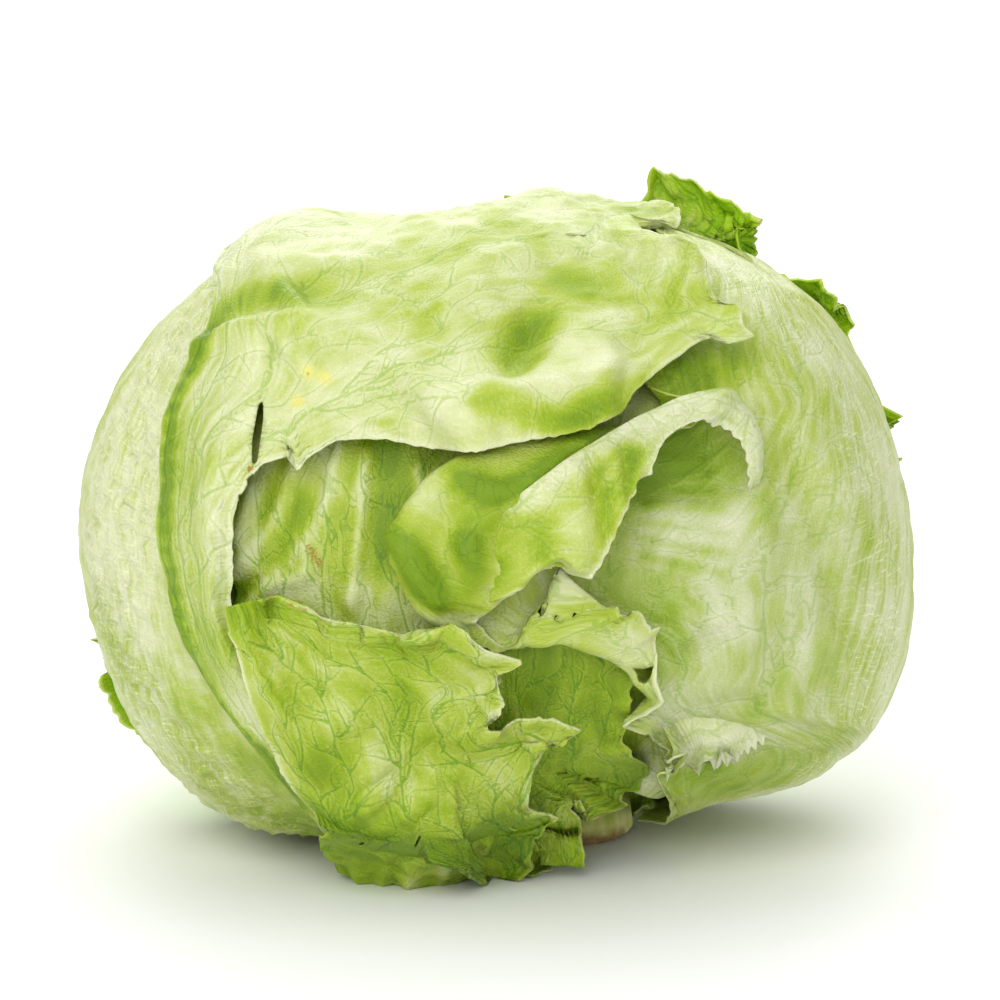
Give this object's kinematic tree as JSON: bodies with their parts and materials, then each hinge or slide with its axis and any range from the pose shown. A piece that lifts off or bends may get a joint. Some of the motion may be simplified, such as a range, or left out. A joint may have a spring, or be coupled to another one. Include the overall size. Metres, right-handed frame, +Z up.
{
  "type": "iceberg lettuce head",
  "caption": "Round crisp lettuce head with a dense heart, a short cut stem, and loose ruffled wrapper leaves that cup and curl back round it.",
  "frame": {"origin": "on the ground, under the middle of the head's bounding box", "axes": "+Z up, -Y towards the side with the open leaf, +X to the right seen from that side"},
  "size_m": [0.1828, 0.1686, 0.1447],
  "materials": {
    "heart": "tightly folded pale leaf, satin",
    "stem": "cut plant stem, matt",
    "leaf_inner": "green leaf, waxy satin",
    "leaf_under": "dark green leaf, waxy satin",
    "leaf_right": "pale green leaf, waxy satin",
    "leaf_left": "pale fleshy leaf base, waxy satin",
    "leaf_crown": "light green leaf, waxy satin",
    "leaf_low": "dark green ruffled leaf, waxy satin",
    "leaf_front": "green leaf, waxy satin",
    "leaf_back_left": "green leaf, waxy satin",
    "leaf_back": "bright green ruffled leaf, waxy satin"
  },
  "bodies": {
    "root": {"heart": "heart", "stem": "stem", "leaf_inner": "leaf_inner", "leaf_under": "leaf_under", "leaf_right": "leaf_right", "leaf_left": "leaf_left", "leaf_crown": "leaf_crown", "leaf_low": "leaf_low", "leaf_front": "leaf_front", "leaf_back_left": "leaf_back_left", "leaf_back": "leaf_back"}
  },
  "joints": []
}
